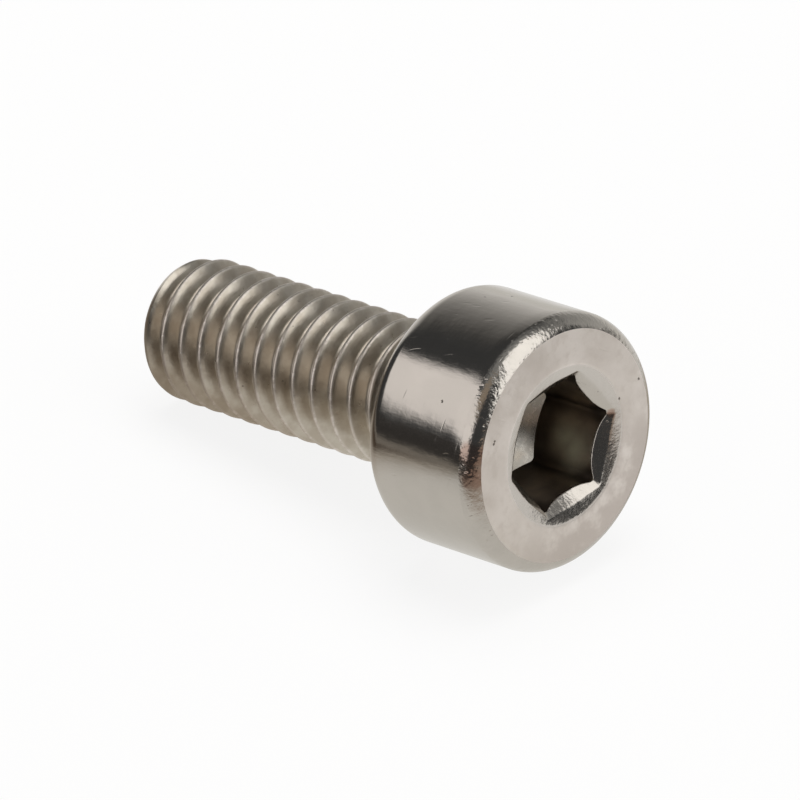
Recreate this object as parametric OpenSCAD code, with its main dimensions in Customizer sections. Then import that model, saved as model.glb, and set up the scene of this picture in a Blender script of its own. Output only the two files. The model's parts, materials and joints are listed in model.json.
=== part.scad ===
// Socket head cap screw, M4 by 10, threaded up to the head. Sizes are in millimetres.
// The screw is made along its own axis, with the bearing face at zero, the head above and the thread below.
// It is then laid on the floor at z = 0, on the rim of its head and its last thread, with its head towards +X.

/* [Head] */
// Diameter of the plain head
head_d = 6.9; // [6.6:0.05:7.4]
// Height of the head above the bearing face
head_h = 3.9; // [3.7:0.05:4.4]
// Radius of the rounding between the side and the top face
top_edge_r = 0.48; // [0.42:0.02:0.6]
// Width of that rounding, measured across the top face
top_edge_w = 0.36; // [0.2:0.02:0.4]
// Radius of the rolled rim under the head
rim_r = 0.6; // [0.45:0.05:0.8]
// Width of the rolled rim, measured across the bearing face
rim_w = 0.3; // [0.15:0.05:0.4]

/* [Hex socket] */
// Size of the hexagon across flats
socket_af = 3.0; // [2.5:0.1:3.2]
// Depth of the hexagon's walls below the top face
socket_depth = 2.4; // [1.8:0.1:2.6]
// Width of the countersink outside the hexagon's corners
countersink_w = 0.37; // [0.1:0.03:0.5]
// Full angle of the countersink
countersink_angle = 120; // [100:5:130]
// Depth of the drilled point below the hexagon's walls
drill_point_h = 0.4; // [0.2:0.05:0.5]
// Flat ledge left round the drilled point, inside the flats
drill_ledge = 0.2; // [0.1:0.05:0.4]
// Turn of the hexagon about the screw's axis, in degrees
socket_turn = 35; // [0:1:59]

/* [Thread] */
// Length under the head
length = 10; // [7:0.5:16]
// Outside diameter of the thread
thread_d = 3.95; // [3.8:0.05:4.2]
// Distance from one thread to the next
pitch = 0.7; // [0.6:0.05:0.8]
// Radius of the rounding at the end
end_edge_r = 1.2; // [0.8:0.1:2]
// Width of that rounding, measured across the flat end
end_edge_w = 0.25; // [0.15:0.05:0.6]
// Turn of the thread about the screw's axis, in degrees
thread_turn = 323; // [0:1:359]

/* [Neck] */
// Length of the plain neck between the head and the thread
neck_h = 0.6; // [0.5:0.1:1]
// How far the neck stands above the bottom of the thread
neck_step = 0.2; // [0.15:0.05:0.25]
// Length over which the thread runs out into the neck
runout_h = 0.8; // [0.6:0.1:1.2]
// How far the run-out ends below the neck's surface
runout_gap = 0.04; // [0.02:0.01:0.1]
// Clear width between the thread's outside and the flat bearing face
bearing_gap = 0.08; // [0.04:0.02:0.2]

/* [Fineness] */
// Straight steps in each rounded edge
edge_steps = 10; // [6:1:14]
// Straight steps in one turn of the thread
turn_steps = 36; // [24:2:44]

/* [Hidden] */
$fn = 96;
head_r = head_d / 2;
thread_r = thread_d / 2;
end_r = thread_r - end_edge_w;
// The metric thread form: a crest an eighth of a pitch wide, a root a quarter wide, a depth of 0.6134 pitches
thread_depth = 0.6134 * pitch;
root_r = thread_r - thread_depth;
crest_w = pitch / 8;
root_w = pitch / 4;
flank_w = (pitch - crest_w - root_w) / 2;
// The neck meets the bearing face in a fillet that ends just outside the thread
neck_r = root_r + neck_step;
runout_r = neck_r - runout_gap;
fillet_r = thread_r + bearing_gap - neck_r;
// Each rounded edge is an arc that leaves the side smoothly and meets the flat face at an angle
top_edge_a = acos(1 - top_edge_w / top_edge_r);
top_edge_h = top_edge_r * sin(top_edge_a);
rim_a = acos(1 - rim_w / rim_r);
rim_h = rim_r * sin(rim_a);
end_a = acos(1 - end_edge_w / end_edge_r);
end_h = end_edge_r * sin(end_a);
// The countersink and the drilled point
socket_corner_r = socket_af / sqrt(3);
countersink_r = socket_corner_r + countersink_w;
countersink_slope = tan(90 - countersink_angle / 2);
drill_r = socket_af / 2 - drill_ledge;
// How far a cutter stands clear of the face that it cuts
proud = 0.5;
// The rows of points along the thread: four to a pitch, from below the end to above the neck's end
thread_top = -neck_h / 2;
row_gap = pitch * 0.06;
rows = 4 * ceil((length + thread_top) / pitch + 2);
row_at = [0, root_w, root_w + flank_w, root_w + flank_w + crest_w];
row_r = [root_r, root_r, thread_r, thread_r];
// How the screw lies: the floor is the line that touches the arc of the rolled rim and that of the rounded end
span = length - end_h + rim_h;
rise = (head_r - rim_r) - (thread_r - end_edge_r);
tilt = atan2(rise, span) + asin((rim_r - end_edge_r) / norm([span, rise]));
axis_z = (length - end_h) * sin(tilt) + (thread_r - end_edge_r) * cos(tilt) + end_edge_r;
far_x = head_h * cos(tilt) + (head_r - top_edge_w) * sin(tilt);
near_x = -length * cos(tilt) - end_r * sin(tilt);

// Outline of the head and neck, as radius and height
function head_outline() = concat(
    [[0, head_h]],
    [for (i = [0 : edge_steps])
        let (a = top_edge_a * (1 - i / edge_steps))
        [head_r - top_edge_r * (1 - cos(a)), head_h - top_edge_h + top_edge_r * sin(a)]],
    [for (i = [0 : edge_steps])
        let (a = rim_a * i / edge_steps)
        [head_r - rim_r * (1 - cos(a)), rim_h - rim_r * sin(a)]],
    [for (i = [0 : edge_steps])
        let (a = 90 * i / edge_steps)
        [neck_r + fillet_r * (1 - sin(a)), -fillet_r * (1 - cos(a))]],
    [[neck_r, -neck_h], [0, -neck_h]]
);

// Largest radius that the thread may have at a height, because it rounds off at the end
function thread_limit(z) =
    let (past = max(0, end_h - length - z))
    thread_r - end_edge_r + sqrt(pow(end_edge_r, 2) - pow(past, 2));

// Share of the thread's form at a height: all of it below the run-out and none of it at the neck
function thread_share(z) = max(0, min(1, (-neck_h - z) / runout_h));

// Height of a row at one of the steps round the screw
function row_z(row, step) = -length - pitch + pitch * (floor(row / 4) + step / turn_steps) + row_at[row % 4];

// Number of the point at a row and step, where rows past either end share the point on that end's ring
function point_at(row, step) =
    step >= turn_steps ? point_at(row + 4, step - turn_steps)
    : row_z(row, step) <= row_gap - length ? step
    : row_z(row, step) >= thread_top - row_gap ? turn_steps + step
    : turn_steps * (2 + row) + step;

function ring(r, z) = [for (step = [0 : turn_steps - 1])
    [r * cos(360 * step / turn_steps), r * sin(360 * step / turn_steps), z]];

// The right-hand thread, a closed solid with a flat ring of points at each end
module thread() {
    points = concat(
        ring(end_r, -length),
        ring(runout_r, thread_top),
        [for (row = [0 : rows - 1], step = [0 : turn_steps - 1])
            let (
                a = 360 * step / turn_steps,
                z = max(-length, min(thread_top, row_z(row, step))),
                form_r = min(row_r[row % 4], thread_limit(z)),
                r = runout_r + (form_r - runout_r) * thread_share(z)
            )
            [r * cos(a), r * sin(a), z]]
    );
    sides = [for (row = [0 : rows - 2], step = [0 : turn_steps - 1])
        let (
            a = point_at(row, step),
            b = point_at(row + 1, step),
            c = point_at(row + 1, step + 1),
            d = point_at(row, step + 1)
        )
        each [if (a != b && b != c && c != a) [a, b, c], if (a != c && c != d && d != a) [a, c, d]]];
    ends = [
        [for (step = [0 : turn_steps - 1]) step],
        [for (step = [0 : turn_steps - 1]) 2 * turn_steps - 1 - step]
    ];
    polyhedron(points, concat(sides, ends), convexity = 10);
}

// The hexagon, its countersink and the drilled point at its bottom
module socket_cut() {
    translate([0, 0, head_h - socket_depth])
        rotate([0, 0, socket_turn])
            cylinder(h = socket_depth + proud, r = socket_corner_r, $fn = 6);
    translate([0, 0, head_h - countersink_r * countersink_slope])
        cylinder(
            h = (countersink_r + proud) * countersink_slope,
            r1 = 0,
            r2 = countersink_r + proud
        );
    translate([0, 0, head_h - socket_depth - drill_point_h])
        cylinder(h = drill_point_h, r1 = 0, r2 = drill_r);
}

module head() {
    difference() {
        rotate_extrude()
            polygon(head_outline());
        socket_cut();
    }
}

module screw() {
    color([0.62, 0.6, 0.57])
        translate([-(far_x + near_x) / 2, 0, axis_z])
            rotate([0, 90 - tilt, 0])
                union() {
                    head();
                    rotate([0, 0, thread_turn])
                        thread();
                }
}

screw();
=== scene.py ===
import json
import math
from types import SimpleNamespace

import bmesh
import bpy
from mathutils import Euler, Matrix, Vector


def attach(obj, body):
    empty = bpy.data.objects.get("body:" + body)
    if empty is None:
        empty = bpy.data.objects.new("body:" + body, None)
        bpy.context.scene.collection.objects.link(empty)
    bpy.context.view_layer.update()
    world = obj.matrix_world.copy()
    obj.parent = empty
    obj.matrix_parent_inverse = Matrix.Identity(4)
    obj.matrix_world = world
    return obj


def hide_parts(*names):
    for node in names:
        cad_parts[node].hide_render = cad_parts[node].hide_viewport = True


bl_info = {
    "name": "Socket Head Cap Screw",
    "version": (1, 0, 0),
    "blender": (4, 5, 0),
    "location": "3D View > Sidebar > Screw",
    "description": "Models a lying stainless cap screw with its worn finishes, and the studio round it",
    "category": "Add Mesh",
}

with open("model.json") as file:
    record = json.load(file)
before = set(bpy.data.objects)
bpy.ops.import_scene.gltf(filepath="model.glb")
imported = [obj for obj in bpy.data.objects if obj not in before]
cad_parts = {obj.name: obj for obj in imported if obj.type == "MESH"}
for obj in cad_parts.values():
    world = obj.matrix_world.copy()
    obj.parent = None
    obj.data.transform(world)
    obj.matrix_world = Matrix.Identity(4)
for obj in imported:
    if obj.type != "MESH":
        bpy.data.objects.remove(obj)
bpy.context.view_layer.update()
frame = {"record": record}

# The mesh is modelled in millimetres along the screw's own axis, with the bearing face at zero,
# the head above and the thread below, and is then laid in the frame by the mounts of the record.
MM = 0.001
MOUNTS = {mount["name"]: mount for mount in frame["record"]["mounts"]}
AXIS = Vector(MOUNTS["hex_socket"]["axis"]).normalized()
TOP_CENTRE = Vector(MOUNTS["hex_socket"]["pos_m"])
BEARING_POINT = Vector(MOUNTS["bearing_face"]["pos_m"])
HEAD_HEIGHT = (TOP_CENTRE - BEARING_POINT).dot(AXIS)
HEAD_RADIUS = MOUNTS["head_side"]["dims"]["r_mm"] * MM
ORIGIN = TOP_CENTRE - AXIS * HEAD_HEIGHT
UP = Vector((0.0, 0.0, 1.0))
SIDEWAYS = Vector((0.0, 1.0, 0.0))
TURN = Matrix((SIDEWAYS.cross(AXIS), SIDEWAYS, AXIS)).transposed()
PLACE = Matrix.Translation(ORIGIN) @ TURN.to_4x4() @ Matrix.Scale(MM, 4)

# Parts of the surface that have a finish of their own, in the order of the mesh's material slots
ZONES = ("side", "edge", "face", "socket", "bottom", "thread")

# Places of single marks, in millimetres in the screw's own frame
SIDE_NICKS = ((-3.341, 0.849, 1.672), (-2.047, -2.773, 2.477))
FACE_NICKS = ((-1.151, -2.464, 3.9), (-1.09, -2.5, 3.9), (-0.734, 2.867, 3.9), (-0.474, 2.109, 3.9))
EDGE_STAIN = ((-0.889, -3.22, 3.74), (-0.5, -3.25, 3.74))
LIP_STAIN = ((-0.114, 1.86, 3.766),)
# Places of a painted reflection on one socket wall, which is also rougher there
WALL_REFLECTION_PLACES = ((0.85, 1.25, 2.85), (0.7, 1.32, 2.55))
NICK_REACH = 0.05

# Lengths in millimetres: within which places count as one, and how finely doubles are merged
SLACK = 1e-3
MERGE_GAP = 1e-4
THREAD_MERGE_GAP = 4e-3

# The corners of the socket widen over this share of the wall, at its top
FLARE_SHARE = 0.25

# The metric thread form, as shares of the pitch
THREAD_DEPTH = 0.6134
CREST_WIDTH = 0.125
ROOT_WIDTH = 0.25

# The flat end is filled by rings, each this much smaller than the one before, and a point
END_INSETS = (0.82, 0.5)

# Edges that bend more than this stay sharp
SHARP_BEND = math.radians(35.0)


def length(name, description, default):
    """Property for a length, given in metres."""
    return bpy.props.FloatProperty(
        name=name, description=description, default=default, min=0.0, unit="LENGTH", precision=6
    )


def angle(name, description, degrees):
    """Property for an angle, given in degrees."""
    return bpy.props.FloatProperty(
        name=name, description=description, default=math.radians(degrees), subtype="ANGLE"
    )


def share(name, description, default):
    """Property for a plain number."""
    return bpy.props.FloatProperty(name=name, description=description, default=default, precision=4)


def colour(name, description, default):
    """Property for a linear colour."""
    return bpy.props.FloatVectorProperty(
        name=name, description=description, default=default, size=3, subtype="COLOR", min=0.0, max=1.0
    )


class CapScrewSizes(bpy.types.PropertyGroup):
    """Sizes of the screw"""

    head_radius: length("Head Radius", "Radius of the plain side of the head", HEAD_RADIUS)
    head_height: length("Head Height", "From the bearing face to the top face", HEAD_HEIGHT)
    edge_width: length("Edge Width", "Width of the rounded edge across the top face", 0.36 * MM)
    edge_height: length("Edge Height", "Height of the rounded edge along the side", 0.4648 * MM)
    rim_width: length("Rim Width", "Width of the rolled rim under the head", 0.3 * MM)
    rim_height: length("Rim Height", "Height of the rolled rim along the side", 0.5196 * MM)
    socket_flats: length("Socket Size", "Hexagon across flats", 3.0 * MM)
    socket_depth: length("Socket Depth", "From the top face to the bottom of the hexagon", 2.4 * MM)
    socket_corner: length("Socket Corner", "How much the corners of the hexagon are filled", 0.03 * MM)
    corner_flare: length("Corner Flare", "How far the corners widen at the socket's mouth", 0.1 * MM)
    lip_radius: length("Lip Radius", "Outer radius of the rounded lip of the socket", 2.2 * MM)
    lip_rim: length("Lip Rim", "Bend radius at the outer line of the lip", 0.3 * MM)
    lip_ease: length("Lip Ease", "Bend radius of the outer part of the lip", 3.2 * MM)
    lip_bend: length("Lip Bend", "Bend radius of the middle of the lip", 0.2 * MM)
    lip_edge: length("Lip Edge", "Bend radius where the lip meets the wall", 0.1 * MM)
    bowl_depth: length("Bowl Depth", "Depth of the hollow bottom below the hexagon", 0.4 * MM)
    screw_length: length("Length", "Length under the head", 10.0 * MM)
    thread_radius: length("Thread Radius", "Outer radius of the thread", 1.975 * MM)
    pitch: length("Pitch", "Distance from one thread to the next", 0.7 * MM)
    end_rounding: length("End Rounding", "Radius of the rounding at the end", 1.2 * MM)
    end_width: length("End Width", "Width of the rounding across the flat end", 0.25 * MM)
    neck_height: length("Neck Height", "Length of the plain neck under the head", 0.6 * MM)
    neck_joint: length("Neck Joint", "Gap that is bridged between neck and thread", 0.05 * MM)
    neck_radius: length("Neck Radius", "Radius of the neck", 1.7456 * MM)
    neck_fillet: length("Neck Fillet", "Radius of the fillet between neck and head", 0.3094 * MM)
    runout: length("Run-out", "Length over which the thread fades into the neck", 0.8 * MM)


class CapScrewShape(bpy.types.PropertyGroup):
    """Angles and fineness of the screw's mesh"""

    edge_turn: angle("Edge Turn", "How far the rounded edge of the head turns", 65.0)
    rim_turn: angle("Rim Turn", "How far the rolled rim turns", 60.0)
    lip_start: angle("Lip Start", "Slope just inside the outer line of the lip", 12.0)
    lip_middle: angle("Lip Middle", "Slope at which the easy outer part of the lip ends", 18.0)
    lip_slope: angle("Lip Slope", "Slope of the inner part of the lip", 45.0)
    lip_end: angle("Lip End", "Slope at which the lip meets the wall", 89.0)
    socket_turn: angle("Socket Turn", "Turn of the hexagon about the axis", 35.0)
    thread_turn: angle("Thread Turn", "Turn of the thread about the axis", 323.0)
    head_steps: bpy.props.IntProperty(
        name="Head Steps", description="Steps round the head", default=288, min=24
    )
    thread_steps: bpy.props.IntProperty(
        name="Thread Steps", description="Steps in one turn of the thread", default=120, min=24
    )


class CapScrewFinish(bpy.types.PropertyGroup):
    """Colours and polish of the steel"""

    steel: colour("Steel", "Colour of the clean steel", (0.585, 0.556, 0.515))
    fresh_steel: colour("Fresh Steel", "Colour of polished steel", (0.615, 0.582, 0.54))
    # Also painted on the thread's crests as a highlight
    pale_steel: colour("Pale Steel", "Colour of the satin face", (0.84, 0.782, 0.732))
    satin_steel: colour("Satin Steel", "Colour of the satin face where it is stained", (0.74, 0.68, 0.625))
    # Also painted as shade in the grooves of the thread
    warm_steel: colour("Warm Steel", "Colour in the grooves of the thread", (0.53, 0.475, 0.4))
    thread_steel: colour("Thread Steel", "Colour of the thread's flanks", (0.655, 0.61, 0.535))
    bottom_steel: colour("Bottom Steel", "Colour of the socket's bottom", (0.46, 0.44, 0.405))
    # The socket's dark, warm colours are painted shade inside the hole
    dark_steel: colour("Dark Steel", "Colour deep in the socket", (0.38, 0.325, 0.27))
    socket_shade_steel: colour("Oiled Steel", "Colour of the socket's walls", (0.5, 0.43, 0.35))
    # Painted reflection on one socket wall
    wall_reflection_steel: colour("Worn Steel", "Colour of the rubbed middle of a socket wall", (0.97, 0.98, 0.8))
    # Painted shade over one side of the satin face
    shaded_face_steel: colour("Dull Steel", "Colour of the satin face where it is dull", (0.65, 0.59, 0.545))
    stain: colour("Stain", "Colour of the reddish stains", (0.42, 0.26, 0.2))
    # Dark in the nicks and pores, and also painted shade in the socket's corners and towards its bottom
    nick_and_shade: colour("Nick", "Colour in the nicks and pores", (0.12, 0.1, 0.085))
    side_roughness: share("Side Roughness", "Roughness of the turned side", 0.12)
    edge_roughness: share("Edge Roughness", "Roughness of the tumbled edge", 0.17)
    face_roughness: share("Face Roughness", "Roughness of the satin face", 0.4)
    lip_roughness: share("Lip Roughness", "Roughness of the punched lip", 0.2)
    socket_roughness: share("Socket Roughness", "Roughness of the socket's walls", 0.34)
    bottom_roughness: share("Bottom Roughness", "Roughness of the socket's bottom", 0.28)
    thread_roughness: share("Thread Roughness", "Roughness of the rolled thread", 0.31)


class CapScrewStage(bpy.types.PropertyGroup):
    """Floor, light and camera"""

    floor_radius: length("Floor Radius", "Radius of the round floor", 0.55)
    floor_sweep: length("Floor Sweep", "Height to which the edge of the floor turns up", 0.018)
    floor_shadow: share("Floor Shadow", "Share of the floor that takes shadow", 0.14)
    # Painted light and shade of the floor, which only the metal mirrors: a painted tone, painted light
    # behind, painted shadows and painted dark shade
    floor_tone: colour("Floor Tone", "Floor beside the screw, as the metal sees it", (0.69, 0.675, 0.64))
    floor_light: colour("Floor Light", "Floor behind the screw, as the metal sees it", (0.81, 0.8, 0.782))
    floor_shade: colour("Floor Shade", "Floor beside the thread, as the metal sees it", (0.46, 0.415, 0.36))
    floor_shadow_band: colour("Floor Band", "Shadow beside the thread, as the metal sees it", (0.09, 0.066, 0.047))
    floor_dark: colour("Floor Dark", "Floor far in front, as the metal sees it", (0.04, 0.037, 0.035))
    floor_brown: colour("Floor Brown", "Floor towards the camera, as the metal sees it", (0.37, 0.3, 0.25))
    overhead: share("Overhead Panel", "Strength of the panel overhead", 1.4)
    left_panel: share("Left Panel", "Strength of the panel at the left", 0.97)
    lens: bpy.props.FloatProperty(
        name="Lens", description="Focal length of the camera", default=377.593, unit="CAMERA"
    )


def in_millimetres(group):
    """Lengths of a property group as plain numbers in millimetres."""
    return SimpleNamespace(**{name: getattr(group, name) / MM for name in group.__annotations__})


class Wire:
    """One socket of a node tree, with operators that add Math nodes."""

    def __init__(self, tree, socket=None):
        self.tree = tree
        self.socket = socket

    def add(self, kind, settings=None, inputs=None, output=0):
        """Add a node, set it up, fill its sockets, and return one of its outputs."""
        node = self.tree.nodes.new(kind)
        for name, value in (settings or {}).items():
            setattr(node, name, value)
        for name, value in (inputs or {}).items():
            if isinstance(value, Wire):
                self.tree.links.new(value.socket, node.inputs[name])
            else:
                node.inputs[name].default_value = value
        return Wire(self.tree, node.outputs[output] if node.outputs else None)

    def other(self, output):
        """Another output of the node that this one comes from."""
        return Wire(self.tree, self.socket.node.outputs[output])

    def maths(self, operation, *values):
        """Add a Math node on one or two values."""
        return self.add("ShaderNodeMath", {"operation": operation}, dict(enumerate(values)))

    def __add__(self, other):
        return self.maths("ADD", self, other)

    def __radd__(self, other):
        return self.maths("ADD", other, self)

    def __sub__(self, other):
        return self.maths("SUBTRACT", self, other)

    def __rsub__(self, other):
        return self.maths("SUBTRACT", other, self)

    def __mul__(self, other):
        return self.maths("MULTIPLY", self, other)

    def __rmul__(self, other):
        return self.maths("MULTIPLY", other, self)

    def __truediv__(self, other):
        return self.maths("DIVIDE", self, other)

    def __rtruediv__(self, other):
        return self.maths("DIVIDE", other, self)

    def least(self, other):
        """Smaller of two values."""
        return self.maths("MINIMUM", self, other)

    def most(self, other):
        """Larger of two values."""
        return self.maths("MAXIMUM", self, other)

    def step(self, low, high):
        """Smooth step from 0 at low to 1 at high; low may be the larger."""
        return self.add(
            "ShaderNodeMapRange",
            {"interpolation_type": "SMOOTHSTEP"},
            {"Value": self, "From Min": low, "From Max": high},
        )

    def slide(self, low, high):
        """Straight slope from 0 at low to 1 at high."""
        return self.add("ShaderNodeMapRange", None, {"Value": self, "From Min": low, "From Max": high})

    def mix(self, first, second):
        """Colour between two, with this value as the share of the second."""
        sockets = {0: self}
        for index, value in ((6, first), (7, second)):
            sockets[index] = value if isinstance(value, Wire) else (*value, 1.0)
        return self.add("ShaderNodeMix", {"data_type": "RGBA"}, sockets, 2)


# Mesh of the screw


def draw_line(bm, pen, radius, height, steps=1):
    """Draw a straight stretch of outline in equal steps, and return its last vertex."""
    start = pen.co.copy()
    end = Vector((radius, 0.0, height))
    for step in range(1, steps + 1):
        pen = bmesh.ops.extrude_vert_indiv(bm, verts=[pen])["verts"][0]
        pen.co = start.lerp(end, step / steps)
    return pen


def draw_arc(bm, start, radius, height, turn, steps):
    """Draw an arc of outline that turns by an angle, and return its last vertex."""
    chord = Vector((radius, 0.0, height)) - start.co
    aside = Vector((chord.z, 0.0, -chord.x)) / (2.0 * math.tan(turn / 2.0))
    centre = start.co + chord / 2.0 + aside
    made = bmesh.ops.spin(bm, geom=[start], cent=centre, axis=SIDEWAYS, angle=turn, steps=steps)
    return next(item for item in made["geom_last"] if isinstance(item, bmesh.types.BMVert))


def draw_bend(bm, pen, bend_radius, first, last, steps):
    """Draw an arc inwards and down, from one slope to a steeper one, and return its last vertex."""
    radius = pen.co.x - bend_radius * (math.sin(last) - math.sin(first))
    height = pen.co.z - bend_radius * (math.cos(first) - math.cos(last))
    return draw_arc(bm, pen, radius, height, first - last, steps)


def start_outline(bm, radius, height):
    """Put down the first vertex of an outline."""
    return bmesh.ops.create_vert(bm, co=(radius, 0.0, height))["vert"][0]


def everything(bm):
    """All the elements of a mesh, as the operators take them."""
    return bm.verts[:] + bm.edges[:] + bm.faces[:]


def spin_round(bm, steps, gap):
    """Turn an outline into a closed round, and merge the vertices that fall together."""
    bmesh.ops.spin(bm, geom=everything(bm), axis=UP, angle=math.tau, steps=steps, use_merge=True)
    bmesh.ops.remove_doubles(bm, verts=bm.verts, dist=gap)


def into_mesh(bm, name):
    """Write a mesh out under a name, and free what it was edited in."""
    mesh = bpy.data.meshes.new(name)
    bm.to_mesh(mesh)
    bm.free()
    return mesh


def hexagon_radius(size, around):
    """Radius of the hexagon at an angle from one of its corners, with the corners a little filled."""
    flat = size.socket_flats / 2.0
    from_flat = around % math.radians(60.0) - math.radians(30.0)
    return min(flat / math.cos(from_flat), 2.0 * flat / math.sqrt(3.0) - size.socket_corner)


def shape_socket(bm, size, lip_base):
    """Turn the round hole of the spun head into the hexagon, with its lip and its bowl at the bottom."""
    flat = size.socket_flats / 2.0
    bottom = size.head_height - size.socket_depth
    widest = hexagon_radius(size, 0.0) - flat

    def bowl(radius):
        """Height of the hollow bottom at a radius."""
        return bottom - size.bowl_depth * (1.0 - (radius / flat) ** 2)

    for vert in bm.verts:
        radius = math.hypot(vert.co.x, vert.co.y)
        height = vert.co.z
        if radius < SLACK or radius > size.lip_radius - SLACK or height < bottom - size.bowl_depth:
            continue
        reach = hexagon_radius(size, math.atan2(vert.co.y, vert.co.x))
        flare = size.corner_flare * ((reach - flat) / widest) ** 2
        scale = (size.lip_radius - reach - flare) / (size.lip_radius - flat)
        if height < bottom + SLACK:
            new_radius = radius * (1.0 + (reach / flat - 1.0) * (radius / flat) ** 2)
            new_height = bowl(new_radius)
        elif radius < flat + SLACK:
            rise = (height - bottom) / (lip_base - bottom)
            wall_top = size.head_height - (size.head_height - lip_base) * scale
            flared = max(0.0, 1.0 - (1.0 - rise) / FLARE_SHARE)
            new_radius = reach + flare * flared ** 2
            new_height = bowl(reach) + (wall_top - bowl(reach)) * rise
        else:
            new_radius = size.lip_radius - (size.lip_radius - radius) * scale
            new_height = size.head_height - (size.head_height - height) * scale
        vert.co.x *= new_radius / radius
        vert.co.y *= new_radius / radius
        vert.co.z = new_height


def zone_of(face, size):
    """Name of the finish on a face of the spun head, from the place of its centre."""
    centre = face.calc_center_median()
    radius = math.hypot(centre.x, centre.y)
    bottom = size.head_height - size.socket_depth
    if radius < size.lip_radius and centre.z > bottom - size.bowl_depth:
        if centre.z < bottom:
            return "bottom"
        return "socket" if radius < size.socket_flats / 2.0 else "face"
    if radius < size.head_radius - size.edge_width and centre.z > size.head_height - SLACK:
        return "face"
    if centre.z > size.head_height - size.edge_height:
        return "edge"
    return "side"


def make_head(size, shape):
    """Head with its socket and neck, open at the lower end of the neck."""
    bm = bmesh.new()
    flat = size.socket_flats / 2.0
    bottom = size.head_height - size.socket_depth
    pen = start_outline(bm, size.neck_radius, -size.neck_height + size.neck_joint)
    pen = draw_line(bm, pen, size.neck_radius, -size.neck_fillet)
    pen = draw_arc(bm, pen, size.neck_radius + size.neck_fillet, 0.0, math.radians(90.0), 8)
    pen = draw_line(bm, pen, size.head_radius - size.rim_width, 0.0, 3)
    pen = draw_arc(bm, pen, size.head_radius, size.rim_height, -shape.rim_turn, 10)
    pen = draw_line(bm, pen, size.head_radius, size.head_height - size.edge_height, 8)
    pen = draw_arc(
        bm, pen, size.head_radius - size.edge_width, size.head_height, -shape.edge_turn, 16
    )
    pen = draw_line(bm, pen, size.lip_radius, size.head_height, 5)
    pen = draw_bend(bm, pen, size.lip_rim, 0.0, shape.lip_start, 4)
    pen = draw_bend(bm, pen, size.lip_ease, shape.lip_start, shape.lip_middle, 5)
    pen = draw_bend(bm, pen, size.lip_bend, shape.lip_middle, shape.lip_slope, 5)
    edge_width = size.lip_edge * (math.sin(shape.lip_end) - math.sin(shape.lip_slope))
    slope_width = pen.co.x - flat - edge_width
    slope_height = slope_width * math.tan(shape.lip_slope)
    pen = draw_line(bm, pen, flat + edge_width, pen.co.z - slope_height, 4)
    pen = draw_bend(bm, pen, size.lip_edge, shape.lip_slope, shape.lip_end, 6)
    lip_base = pen.co.z
    pen = draw_line(bm, pen, flat, bottom, 12)
    draw_line(bm, pen, 0.0, bottom - size.bowl_depth, 14)
    spin_round(bm, shape.head_steps, MERGE_GAP)
    for face in bm.faces:
        face.material_index = ZONES.index(zone_of(face, size))
    shape_socket(bm, size, lip_base)
    bmesh.ops.rotate(bm, verts=bm.verts, matrix=Matrix.Rotation(shape.socket_turn, 3, "Z"))
    return bm


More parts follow.
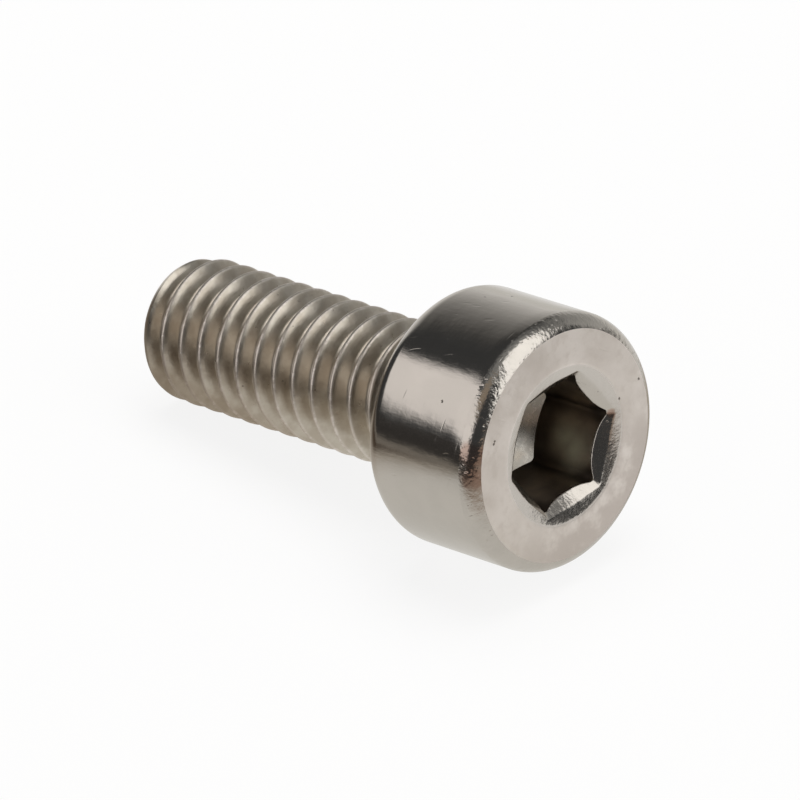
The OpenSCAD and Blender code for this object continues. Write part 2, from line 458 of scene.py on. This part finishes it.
def make_thread(size, shape):
    """Right-hand thread with rounded crests and roots, closed at its end and open at the neck."""
    bm = bmesh.new()
    root_radius = size.thread_radius - THREAD_DEPTH * size.pitch
    crest_flat = CREST_WIDTH * size.pitch
    root_flat = ROOT_WIDTH * size.pitch
    flank = (size.pitch - crest_flat - root_flat) / 2.0
    lean = math.atan2(flank, size.thread_radius - root_radius)
    bend = math.pi - 2.0 * lean

    def rounding(flat):
        """Half width and height of the arc that replaces a flat between two flanks."""
        radius = flat / 2.0 / math.tan(lean) / (1.0 / math.sin(lean) - 1.0)
        return radius * math.cos(lean), radius * (1.0 - math.sin(lean))

    root_half, root_rise = rounding(root_flat)
    crest_half, crest_rise = rounding(crest_flat)
    low = -size.screw_length - size.pitch + root_flat / 2.0
    root_side = root_radius + root_rise
    crest_side = size.thread_radius - crest_rise
    middle = low + size.pitch / 2.0
    pen = start_outline(bm, root_side, low - root_half)
    pen = draw_arc(bm, pen, root_side, low + root_half, bend, 6)
    pen = draw_line(bm, pen, crest_side, middle - crest_half, 3)
    pen = draw_arc(bm, pen, crest_side, middle + crest_half, -bend, 6)
    draw_line(bm, pen, root_side, low + size.pitch - root_half, 3)
    bmesh.ops.spin(
        bm,
        geom=everything(bm),
        axis=UP,
        dvec=UP * (size.pitch / shape.thread_steps),
        angle=math.tau,
        steps=shape.thread_steps,
    )
    one_turn = everything(bm)
    for turn in range(1, math.ceil((size.screw_length - size.neck_height) / size.pitch) + 2):
        copied = bmesh.ops.duplicate(bm, geom=one_turn)["geom"]
        bmesh.ops.translate(
            bm,
            verts=[item for item in copied if isinstance(item, bmesh.types.BMVert)],
            vec=UP * (size.pitch * turn),
        )
    bmesh.ops.remove_doubles(bm, verts=bm.verts, dist=THREAD_MERGE_GAP)
    for height, outwards in ((-size.neck_height, UP), (-size.screw_length, -UP)):
        bmesh.ops.bisect_plane(
            bm,
            geom=everything(bm),
            dist=MERGE_GAP,
            plane_co=UP * height,
            plane_no=outwards,
            clear_outer=True,
        )
    end_angle = math.acos(1.0 - size.end_width / size.end_rounding)
    end_height = size.end_rounding * math.sin(end_angle)
    for vert in bm.verts:
        radius = math.hypot(vert.co.x, vert.co.y)
        past = max(0.0, end_height - size.screw_length - vert.co.z)
        limit = size.thread_radius - size.end_rounding + math.sqrt(size.end_rounding ** 2 - past ** 2)
        form = max(0.0, min(1.0, (-size.neck_height - vert.co.z) / size.runout))
        new_radius = size.neck_radius + (min(radius, limit) - size.neck_radius) * form
        vert.co.x *= new_radius / radius
        vert.co.y *= new_radius / radius
    end_edges = [
        edge for edge in bm.edges if edge.is_boundary and edge.verts[0].co.z < SLACK - size.screw_length
    ]
    for inset in END_INSETS:
        made = bmesh.ops.extrude_edge_only(bm, edges=end_edges)["geom"]
        ring = [item for item in made if isinstance(item, bmesh.types.BMVert)]
        end_edges = [item for item in made if isinstance(item, bmesh.types.BMEdge) and item.is_boundary]
        bmesh.ops.scale(bm, verts=ring, vec=(inset, inset, 1.0))
    bmesh.ops.pointmerge(
        bm,
        verts=list({vert for edge in end_edges for vert in edge.verts}),
        merge_co=(0.0, 0.0, -size.screw_length),
    )
    bmesh.ops.rotate(bm, verts=bm.verts, matrix=Matrix.Rotation(shape.thread_turn, 3, "Z"))
    return bm


def make_screw(size, shape):
    """Whole screw as one closed mesh, in millimetres."""
    bm = make_head(size, shape)
    thread_mesh = into_mesh(make_thread(size, shape), "thread")
    bm.from_mesh(thread_mesh)
    bpy.data.meshes.remove(thread_mesh)
    bmesh.ops.bridge_loops(bm, edges=[edge for edge in bm.edges if edge.is_boundary])
    bmesh.ops.recalc_face_normals(bm, faces=bm.faces)
    open_edges = [edge for edge in bm.edges if not edge.is_manifold]
    if open_edges:
        raise RuntimeError(f"The screw's mesh is open at {len(open_edges)} edges")
    for face in bm.faces:
        face.smooth = True
        if face.calc_center_median().z < -size.neck_fillet:
            face.material_index = ZONES.index("thread")
    for edge in bm.edges:
        zones = {face.material_index for face in edge.link_faces}
        edge.smooth = edge.calc_face_angle(0.0) < SHARP_BEND and not (
            zones == {ZONES.index("face"), ZONES.index("edge")}
        )
    return bm


# Finishes of the steel


def new_material(name):
    """Material with an empty node tree, and a wire to start it with."""
    material = bpy.data.materials.new(name)
    material.use_nodes = True
    material.node_tree.nodes.clear()
    return material, Wire(material.node_tree)


def screw_point(wire):
    """Place on the screw in millimetres in its own frame."""
    point = wire.add("ShaderNodeTexCoord", output="Object")
    back = TURN.transposed()
    return wire.add(
        "ShaderNodeMapping",
        {"vector_type": "POINT"},
        {
            "Vector": point,
            "Location": back @ ORIGIN / -MM,
            "Rotation": back.to_euler("XYZ"),
            "Scale": (1.0 / MM,) * 3,
        },
    )


def stretch(point, scale):
    """Place with each of its coordinates multiplied."""
    return point.add("ShaderNodeVectorMath", {"operation": "MULTIPLY"}, {0: point, 1: scale})


def distance_from_axis(point):
    """Radius of a place on the screw."""
    flat = stretch(point, (1.0, 1.0, 0.0))
    return point.add("ShaderNodeVectorMath", {"operation": "LENGTH"}, {0: flat}, 1)


def height_of(point):
    """Third coordinate of a place."""
    return point.add("ShaderNodeSeparateXYZ", None, {"Vector": point}, "Z")


def grain(point, scale, detail=2.0, roughness=0.5, stretched=(1.0, 1.0, 1.0)):
    """Noise of a size given in lumps to a millimetre, which may be stretched along the axes."""
    if stretched != (1.0, 1.0, 1.0):
        point = stretch(point, stretched)
    return point.add(
        "ShaderNodeTexNoise",
        None,
        {"Vector": point, "Scale": scale, "Detail": detail, "Roughness": roughness},
    )


def marks(point, scale, size, kept, stretched=(1.0, 1.0, 1.0), turn=(0.0, 0.0, 0.0)):
    """Scattered small marks, pits or short scratches, of which only a share is kept."""
    turned = point.add(
        "ShaderNodeMapping", {"vector_type": "POINT"}, {"Vector": point, "Rotation": turn}
    )
    spot = point.add(
        "ShaderNodeTexVoronoi",
        {"feature": "F1"},
        {"Vector": stretch(turned, stretched), "Scale": scale, "Randomness": 1.0},
    )
    lot = spot.add("ShaderNodeSeparateColor", None, {"Color": spot.other("Color")})
    return spot.step(size, size * 0.45) * lot.step(kept, kept - 0.02)


def along(point, way):
    """Distance of a place along a direction."""
    return point.add("ShaderNodeVectorMath", {"operation": "DOT_PRODUCT"}, {0: point, 1: way}, 1)


def nearest(point, places):
    """Distance to the nearest of some places."""
    near = None
    for place in places:
        gap = point.add("ShaderNodeVectorMath", {"operation": "DISTANCE"}, {0: point, 1: place}, 1)
        near = gap if near is None else near.least(gap)
    return near


def spots(point, places, reach, ragged=1.8, core=0.4):
    """Ragged spots at given places, each about as wide as twice the reach, full within a share of it."""
    near = nearest(point, places) + reach * ragged * (grain(point, 0.7 / reach) - 0.5)
    return near.step(reach, reach * core)


def steel_surface(wire, base, roughness, height):
    """Metal shader of a finish, with its height in millimetres, joined to the material's output."""
    bump = wire.add("ShaderNodeBump", None, {"Strength": 1.0, "Distance": MM, "Height": height})
    surface = wire.add(
        "ShaderNodeBsdfPrincipled",
        None,
        {"Base Color": base, "Metallic": 1.0, "Roughness": roughness, "Normal": bump},
    )
    wire.add("ShaderNodeOutputMaterial", None, {"Surface": surface})


def turned_side(finish):
    """Side of the head and its underside: turned, with drag lines, scuffs and pits."""
    material, wire = new_material("turned_side")
    point = screw_point(wire)
    blotch = grain(point, 0.9, detail=3.0, roughness=0.5)
    drag = grain(point, 1.0, detail=3.0, roughness=0.6, stretched=(8.0, 8.0, 2.0))
    ripple = grain(point, 4.2, detail=2.0, roughness=0.55)
    lines = grain(point, 1.0, detail=2.0, roughness=0.5, stretched=(1.2, 1.2, 24.0))
    scratch = marks(point, 1.0, size=0.22, kept=0.5, stretched=(5.0, 5.0, 0.9), turn=(0.35, 0.2, 0.0))
    scuff = marks(point, 1.0, size=0.2, kept=0.45, stretched=(0.9, 0.9, 7.0), turn=(0.1, -0.25, 0.0))
    pits = marks(point, 2.6, size=0.085, kept=0.3)
    pits = pits.most(spots(point, SIDE_NICKS, NICK_REACH))
    base = blotch.step(0.35, 0.7).mix(finish.steel, finish.fresh_steel)
    base = (pits * 0.8).mix(base, finish.nick_and_shade)
    roughness = finish.side_roughness + 0.08 * (drag - 0.5) + 0.06 * (lines - 0.5) + 0.08 * scuff
    height = 0.008 * blotch + 0.002 * drag + 0.0012 * ripple + 0.0005 * lines
    height = height - 0.002 * scratch - 0.0015 * scuff - 0.006 * pits
    steel_surface(wire, base, roughness, height)
    return material


def tumbled_edge(finish):
    """Rounded edge of the head: lumpy and scratched, with a reddish stain."""
    material, wire = new_material("tumbled_edge")
    point = screw_point(wire)
    lumps = grain(point, 2.2, detail=3.0, roughness=0.6)
    grit = grain(point, 8.0, detail=2.0, roughness=0.55)
    scratch = marks(point, 1.0, size=0.22, kept=0.6, stretched=(7.0, 7.0, 1.6), turn=(0.2, 0.3, 0.0))
    cross_scratch = marks(point, 1.0, size=0.2, kept=0.5, stretched=(1.6, 1.6, 9.0))
    pits = marks(point, 3.4, size=0.1, kept=0.35)
    stain = spots(point, EDGE_STAIN, 0.45)
    base = lumps.step(0.35, 0.7).mix(finish.steel, finish.fresh_steel)
    base = (stain * 0.6).mix(base, finish.stain)
    base = (pits * 0.75).mix(base, finish.nick_and_shade)
    roughness = finish.edge_roughness + 0.16 * (grit - 0.5)
    height = 0.018 * lumps + 0.011 * grit - 0.006 * scratch - 0.004 * cross_scratch - 0.008 * pits
    steel_surface(wire, base, roughness, height)
    return material


def satin_face(finish, size):
    """Top face and lip: matt and mottled on the flat, with painted shade over one side of it, smoother
    where the punch drew the lip down.
    """
    material, wire = new_material("satin_face")
    point = screw_point(wire)
    depth = size.head_height - height_of(point)
    lip = depth.step(0.001, 0.02)
    blotch = grain(point, 0.8, detail=4.0, roughness=0.6)
    mottle = grain(point, 3.2, detail=3.0, roughness=0.6)
    grit = grain(point, 11.0, detail=2.0, roughness=0.5)
    scratch = marks(point, 1.0, size=0.2, kept=0.4, stretched=(6.0, 0.8, 1.0), turn=(0.0, 0.0, 0.6))
    pits = marks(point, 2.1, size=0.075, kept=0.25)
    pits = pits.most(spots(point, FACE_NICKS, NICK_REACH))
    stain = spots(point, LIP_STAIN, 0.17)
    base = blotch.step(0.3, 0.72).mix(finish.pale_steel, finish.satin_steel)
    base = (mottle.step(0.5, 0.7) * 0.7).mix(base, finish.satin_steel)
    # Painted shade over one side of the face, broken up by the blotches
    shaded = along(point, (0.9, 0.44, 0.0)).step(0.4, 2.6) * blotch.step(0.3, 0.5)
    base = shaded.mix(base, finish.shaded_face_steel)
    base = (lip * 0.85).mix(base, finish.steel)
    base = (stain * 0.6).mix(base, finish.stain)
    base = (pits * 0.85).mix(base, finish.nick_and_shade)
    roughness = finish.face_roughness + 0.16 * (blotch - 0.5) + 0.12 * (grit - 0.5)
    roughness = roughness - lip * (finish.face_roughness - finish.lip_roughness)
    height = 0.006 * blotch + 0.004 * mottle + 0.0015 * grit + lip * (0.009 * mottle + 0.0022 * grit)
    height = height - 0.0015 * scratch - 0.006 * pits
    steel_surface(wire, base, roughness, height)
    return material


def punched_socket(finish, size):
    """Walls of the socket: dark and warm as painted shade, darkest in the corners and towards the bottom as
    painted shade, with a painted reflection on one rougher wall.
    """
    material, wire = new_material("punched_socket")
    point = screw_point(wire)
    radius = distance_from_axis(point)
    corner = radius.step(size.socket_flats * 0.515, size.socket_flats * 0.56)
    drag = grain(point, 1.0, detail=3.0, roughness=0.6, stretched=(12.0, 12.0, 1.2))
    lumps = grain(point, 1.8, detail=3.0, roughness=0.6)
    # Painted shade inside the socket, varied in patches
    base = lumps.step(0.3, 0.75).mix(finish.socket_shade_steel, finish.dark_steel)
    depth = size.head_height - height_of(point)
    # Painted shade in the corners
    base = (corner * 0.85).mix(base, finish.nick_and_shade)
    # Painted shade towards the bottom
    base = (depth.step(1.2, 2.1) * 0.6).mix(base, finish.nick_and_shade)
    # Painted reflection on the middle of one wall, where the wall is also rougher
    worn = spots(point, WALL_REFLECTION_PLACES, 0.95, ragged=0.8, core=0.0)
    base = (worn * worn * 0.85).mix(base, finish.wall_reflection_steel)
    roughness = finish.socket_roughness + 0.25 * (drag - 0.5) + 0.25 * worn
    height = 0.008 * lumps + 0.003 * drag
    steel_surface(wire, base, roughness, height)
    return material


def hollow_bottom(finish):
    """Bottom of the socket, with patches of the socket's painted shade."""
    material, wire = new_material("hollow_bottom")
    point = screw_point(wire)
    lumps = grain(point, 1.8, detail=3.0, roughness=0.6)
    grit = grain(point, 9.0, detail=2.0, roughness=0.5)
    # Patches of the socket's painted shade
    base = (lumps.step(0.35, 0.75) * 0.5).mix(finish.bottom_steel, finish.socket_shade_steel)
    roughness = finish.bottom_roughness + 0.2 * (grit - 0.5)
    height = 0.003 * lumps + 0.0003 * grit
    steel_surface(wire, base, roughness, height)
    return material


def rolled_thread(finish, size):
    """Thread and neck: painted shade in the grooves, warm and darker, a painted highlight on the crests
    with rubbed patches there, turned rings on the end.
    """
    material, wire = new_material("rolled_thread")
    point = screw_point(wire)
    radius = distance_from_axis(point)
    crest = radius.step(size.thread_radius - 0.07, size.thread_radius - 0.005)
    root = radius.step(size.thread_radius - 0.3, size.thread_radius - 0.42)
    lumps = grain(point, 1.7, detail=3.0, roughness=0.6)
    grit = grain(point, 7.0, detail=2.0, roughness=0.5)
    pits = marks(point, 2.4, size=0.09, kept=0.3) * (1.0 - crest)
    rubs = grain(point, 4.0, detail=2.0, roughness=0.6).step(0.52, 0.62) * crest
    base = lumps.step(0.35, 0.7).mix(finish.warm_steel, finish.thread_steel)
    # Painted shade in the grooves
    base = (root * 0.4).mix(base, finish.warm_steel)
    # Painted highlight on the crests, with rubbed patches there
    base = (crest * 0.45 + rubs * 0.5).mix(base, finish.pale_steel)
    base = (pits * 0.5).mix(base, finish.nick_and_shade)
    end = height_of(point).step(0.02 - size.screw_length, -size.screw_length)
    rings = grain(wire.add("ShaderNodeCombineXYZ", None, {"X": radius}), 9.0)
    roughness = finish.thread_roughness + 0.16 * (grit - 0.5) + 0.12 * crest
    height = 0.01 * lumps + 0.002 * grit - 0.004 * pits - 0.003 * rubs + 0.006 * end * rings
    steel_surface(wire, base, roughness, height)
    return material


# Stage


def direction(azimuth, elevation):
    """Unit vector at an azimuth from +X and an elevation, both in degrees."""
    flat = math.cos(math.radians(elevation))
    return Vector((
        flat * math.cos(math.radians(azimuth)),
        flat * math.sin(math.radians(azimuth)),
        math.sin(math.radians(elevation)),
    ))


def panel(ray, corners, soft):
    """Share of a soft-edged panel seen along a ray, from its corners as azimuth and elevation."""
    points = [direction(*corner) for corner in corners]
    centre = sum(points, Vector()).normalized()
    inside = None
    for first, second in zip(points, points[1:] + points[:1]):
        normal = first.cross(second).normalized()
        if normal.dot(centre) < 0.0:
            normal.negate()
        side = along(ray, normal)
        inside = side if inside is None else inside.least(side)
    reach = math.sin(math.radians(soft))
    return inside.step(-reach, reach)


# Panels of the studio, by their corners as azimuth and elevation in degrees
OVERHEAD = ((-4, 11), (16, 10), (33, 15), (45, 30), (71, 60), (110, 74), (-60, 74), (-21, 60), (-8, 30))
LEFT_PANEL = ((-80, -2), (-110, -6), (-134, 8), (-150, 14), (-168, 28), (-158, 36.5), (-64, 33))
WARM_WALL = ((-100, 38), (-55, 38), (-50, 62), (-100, 66))
BACK_WALL = ((58, -8), (58, 42), (85, 50), (118, 46), (118, -8))
BACK_GLOW = ((112, -8), (112, 44), (150, 44), (176, 42), (168, -8))

# How far the edges of the panels fade, in degrees
PANEL_FADE = 4.0
WALL_FADE = 5.0
WARM_FADE = 6.0

# Colours of the studio
ROOM_DARK = (0.048, 0.049, 0.05)
ROOM_TOP = (0.25, 0.25, 0.245)
WALL_LOW = (0.56, 0.55, 0.53)
WALL_HIGH = (0.2, 0.2, 0.195)
GLOW_LOW = (0.8, 0.785, 0.76)
GLOW_HIGH = (0.05, 0.048, 0.046)
WARM_TONE = (0.3, 0.245, 0.19)
LEFT_TINT = (1.0, 0.955, 0.93)
OVERHEAD_TINT = (1.0, 0.985, 0.96)
WHITE = (1.0, 1.0, 1.0)
MATT_WHITE = (0.93, 0.93, 0.93, 1.0)

# Floor, in metres: directions on it, the painted shadow that the metal sees, the part that takes a real
# shadow, and the fineness of the mesh
TO_HEAD = (1.0, 0.0, 0.0)
BEHIND = (0.0, 1.0, 0.0)
TO_CAMERA = (0.707, -0.707, 0.0)
IN_FRONT = (-0.287, -0.958, 0.0)
SHADOW_PLACES = ((0.004, 0.0065, 0.0), (0.0045, 0.0105, 0.0))
SHADOW_REACH = 0.0065
SHADOW_CORE = 0.002
MATT_REACH = 0.06
MATT_CORE = 0.03
FLOOR_STEPS = 96
FLOOR_MERGE_GAP = 1e-6

# Lamp, in metres, and camera, with its place in millimetres, its tilt from straight down and its
# heading, to which its right-hand side points from +X
LAMP_PLACE = (-0.06, 0.08, 0.4)
LAMP_WIDTH = 0.35
LAMP_POWER = 1.0
CAMERA_PLACE = (131.1419, -134.6666, 116.0761)
CAMERA_TILT = math.radians(58.8461)
CAMERA_HEADING = math.radians(44.0471)
SENSOR_WIDTH = 36.0
CLIP_START = 0.005
CLIP_END = 50.0


def build_world(stage):
    """Studio that lights the screw: a dark room with lit panels and walls."""
    world = bpy.data.worlds.new("studio")
    bpy.context.scene.world = world
    world.use_nodes = True
    world.node_tree.nodes.clear()
    wire = Wire(world.node_tree)
    ray = wire.add("ShaderNodeTexCoord", output="Generated")
    up = height_of(ray)
    room = up.step(0.7, 1.0).mix(ROOM_DARK, ROOM_TOP)
    wall = up.slide(-0.05, 0.7).mix(WALL_LOW, WALL_HIGH)
    room = panel(ray, BACK_WALL, WALL_FADE).mix(room, wall)
    glow = up.slide(-0.02, 0.65).mix(GLOW_LOW, GLOW_HIGH)
    room = panel(ray, BACK_GLOW, WALL_FADE).mix(room, glow)
    room = panel(ray, WARM_WALL, WARM_FADE).mix(room, WARM_TONE)
    left = [stage.left_panel * part for part in LEFT_TINT]
    room = panel(ray, LEFT_PANEL, PANEL_FADE).mix(room, left)
    overhead = [stage.overhead * part for part in OVERHEAD_TINT]
    room = panel(ray, OVERHEAD, PANEL_FADE).mix(room, overhead)
    light = wire.add("ShaderNodeBackground", None, {"Color": room, "Strength": 1.0})
    wire.add("ShaderNodeOutputWorld", None, {"Surface": light})


def floor_material(stage):
    """White with a faint real shadow to the camera; to the metal it shows painted light and shade: a
    painted tone, painted light behind, painted shadows beside the thread and behind the head, and painted
    brown and dark shade in front.
    """
    material, wire = new_material("white_floor")
    path = {
        name: wire.add("ShaderNodeLightPath", output=name)
        for name in ("Is Camera Ray", "Is Glossy Ray", "Is Transmission Ray")
    }
    point = wire.add("ShaderNodeTexCoord", output="Object")
    to_head = along(point, TO_HEAD) / MM
    behind = along(point, BEHIND) / MM
    to_camera = along(point, TO_CAMERA) / MM
    in_front = along(point, IN_FRONT) / MM
    mirrored = path["Is Glossy Ray"] + path["Is Transmission Ray"]
    beside_thread = to_head.step(1.0, -3.0)
    # Painted shadow beside the thread
    seen = beside_thread.mix(stage.floor_tone, stage.floor_shade)
    # Painted light behind the screw
    seen = behind.step(0.0, 5.0).mix(seen, stage.floor_light)
    # Painted shadow behind the head
    shadow = nearest(point, SHADOW_PLACES).step(SHADOW_REACH, SHADOW_CORE)
    seen = shadow.mix(seen, stage.floor_shade)
    seen = behind.step(12.0, 45.0).mix(seen, stage.floor_tone)
    # Painted brown shade towards the camera, and painted dark shade far past the head
    seen = to_camera.step(9.0, 19.0).mix(seen, stage.floor_brown)
    seen = (to_head.step(26.0, 42.0) * behind.step(1.0, 6.0)).mix(seen, stage.floor_dark)
    # Painted shadow band beside the thread
    thread_shadow_band = to_head.step(-2.0, -5.0) * in_front.step(0.5, 10.0) * in_front.step(17.0, 12.5)
    seen = thread_shadow_band.mix(seen, stage.floor_shadow_band)
    # Painted dark shade far in front
    seen = in_front.step(5.0, 27.0).mix(seen, stage.floor_dark)
    tone = mirrored.mix(WHITE, seen)
    shine = wire.add("ShaderNodeEmission", None, {"Color": tone, "Strength": 1.0})
    matt = wire.add("ShaderNodeBsdfDiffuse", None, {"Color": MATT_WHITE})
    away = point.add("ShaderNodeVectorMath", {"operation": "LENGTH"}, {0: point}, 1)
    matt_share = stage.floor_shadow * away.step(MATT_REACH, MATT_CORE)
    share_seen = path["Is Camera Ray"] * (1.0 - matt_share) + mirrored
    surface = wire.add("ShaderNodeMixShader", None, {0: share_seen, 1: matt, 2: shine})
    wire.add("ShaderNodeOutputMaterial", None, {"Surface": surface})
    return material


def build_floor(stage):
    """Round floor that turns up at its far edge, so that it fills low views too."""
    bm = bmesh.new()
    pen = start_outline(bm, 0.0, 0.0)
    pen = draw_line(bm, pen, stage.floor_radius, 0.0, 3)
    outer = stage.floor_radius + stage.floor_sweep
    draw_arc(bm, pen, outer, stage.floor_sweep, -math.radians(90.0), 8)
    spin_round(bm, FLOOR_STEPS, FLOOR_MERGE_GAP)
    bmesh.ops.recalc_face_normals(bm, faces=bm.faces)
    if sum(face.normal.z * face.calc_area() for face in bm.faces) < 0.0:
        bmesh.ops.reverse_faces(bm, faces=bm.faces)
    floor = bpy.data.objects.new("floor", into_mesh(bm, "floor"))
    bpy.context.collection.objects.link(floor)
    floor.data.materials.append(floor_material(stage))


def build_lamp():
    """Wide soft lamp for the floor and its shadow, which the metal doesn't mirror."""
    lamp = bpy.data.lights.new("soft_lamp", "AREA")
    lamp.shape = "DISK"
    lamp.size = LAMP_WIDTH
    lamp.energy = LAMP_POWER
    holder = bpy.data.objects.new("soft_lamp", lamp)
    holder.location = LAMP_PLACE
    holder.rotation_euler = (-holder.location).to_track_quat("-Z", "Y").to_euler()
    holder.visible_glossy = False
    bpy.context.collection.objects.link(holder)


def build_camera(stage):
    """Camera in the place and with the lens that were fitted to the screw's outline."""
    camera = bpy.data.cameras.new("camera")
    camera.sensor_fit = "HORIZONTAL"
    camera.sensor_width = SENSOR_WIDTH
    camera.lens = stage.lens
    camera.clip_start = CLIP_START
    camera.clip_end = CLIP_END
    holder = bpy.data.objects.new("camera", camera)
    bpy.context.collection.objects.link(holder)
    place = Matrix.Translation(Vector(CAMERA_PLACE) * MM)
    turn = Euler((CAMERA_TILT, 0.0, CAMERA_HEADING)).to_matrix()
    holder.matrix_world = place @ turn.to_4x4()
    bpy.context.scene.camera = holder


class CAPSCREW_OT_stage(bpy.types.Operator):
    """Build the floor, the light and the camera"""

    bl_idname = "cap_screw.stage"
    bl_label = "Build Stage"

    def execute(self, context):
        stage = context.scene.cap_screw_stage
        build_world(stage)
        build_floor(stage)
        build_lamp()
        build_camera(stage)
        context.scene.view_settings.view_transform = "Standard"
        return {"FINISHED"}


class CAPSCREW_OT_screw(bpy.types.Operator):
    """Build the screw with its finishes, in place of the plain solid"""

    bl_idname = "cap_screw.screw"
    bl_label = "Build Screw"

    def execute(self, context):
        size = in_millimetres(context.scene.cap_screw_sizes)
        shape = context.scene.cap_screw_shape
        finish = context.scene.cap_screw_finish
        bm = make_screw(size, shape)
        bmesh.ops.transform(bm, verts=bm.verts, matrix=PLACE)
        mesh = into_mesh(bm, "cap_screw")
        materials = {
            "side": turned_side(finish),
            "edge": tumbled_edge(finish),
            "face": satin_face(finish, size),
            "socket": punched_socket(finish, size),
            "bottom": hollow_bottom(finish),
            "thread": rolled_thread(finish, size),
        }
        for zone in ZONES:
            mesh.materials.append(materials[zone])
        screw = bpy.data.objects.new("cap_screw", mesh)
        context.collection.objects.link(screw)
        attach(screw, "root")
        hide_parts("screw")
        return {"FINISHED"}


class CAPSCREW_PT_panel(bpy.types.Panel):
    """Sizes, finishes and builders of the screw"""

    bl_label = "Cap Screw"
    bl_idname = "CAPSCREW_PT_panel"
    bl_space_type = "VIEW_3D"
    bl_region_type = "UI"
    bl_category = "Screw"

    def draw(self, context):
        scene = context.scene
        for group in (
            scene.cap_screw_sizes,
            scene.cap_screw_shape,
            scene.cap_screw_finish,
            scene.cap_screw_stage,
        ):
            column = self.layout.column(align=True)
            for name in group.__annotations__:
                column.prop(group, name)
        self.layout.operator("cap_screw.stage")
        self.layout.operator("cap_screw.screw")


CLASSES = (
    CapScrewSizes,
    CapScrewShape,
    CapScrewFinish,
    CapScrewStage,
    CAPSCREW_OT_stage,
    CAPSCREW_OT_screw,
    CAPSCREW_PT_panel,
)


def register():
    for item in CLASSES:
        bpy.utils.register_class(item)
    bpy.types.Scene.cap_screw_sizes = bpy.props.PointerProperty(type=CapScrewSizes)
    bpy.types.Scene.cap_screw_shape = bpy.props.PointerProperty(type=CapScrewShape)
    bpy.types.Scene.cap_screw_finish = bpy.props.PointerProperty(type=CapScrewFinish)
    bpy.types.Scene.cap_screw_stage = bpy.props.PointerProperty(type=CapScrewStage)


def unregister():
    del bpy.types.Scene.cap_screw_stage
    del bpy.types.Scene.cap_screw_finish
    del bpy.types.Scene.cap_screw_shape
    del bpy.types.Scene.cap_screw_sizes
    for item in reversed(CLASSES):
        bpy.utils.unregister_class(item)


def main():
    register()
    bpy.ops.cap_screw.stage()
    bpy.ops.cap_screw.screw()


if __name__ == "__main__":
    main()
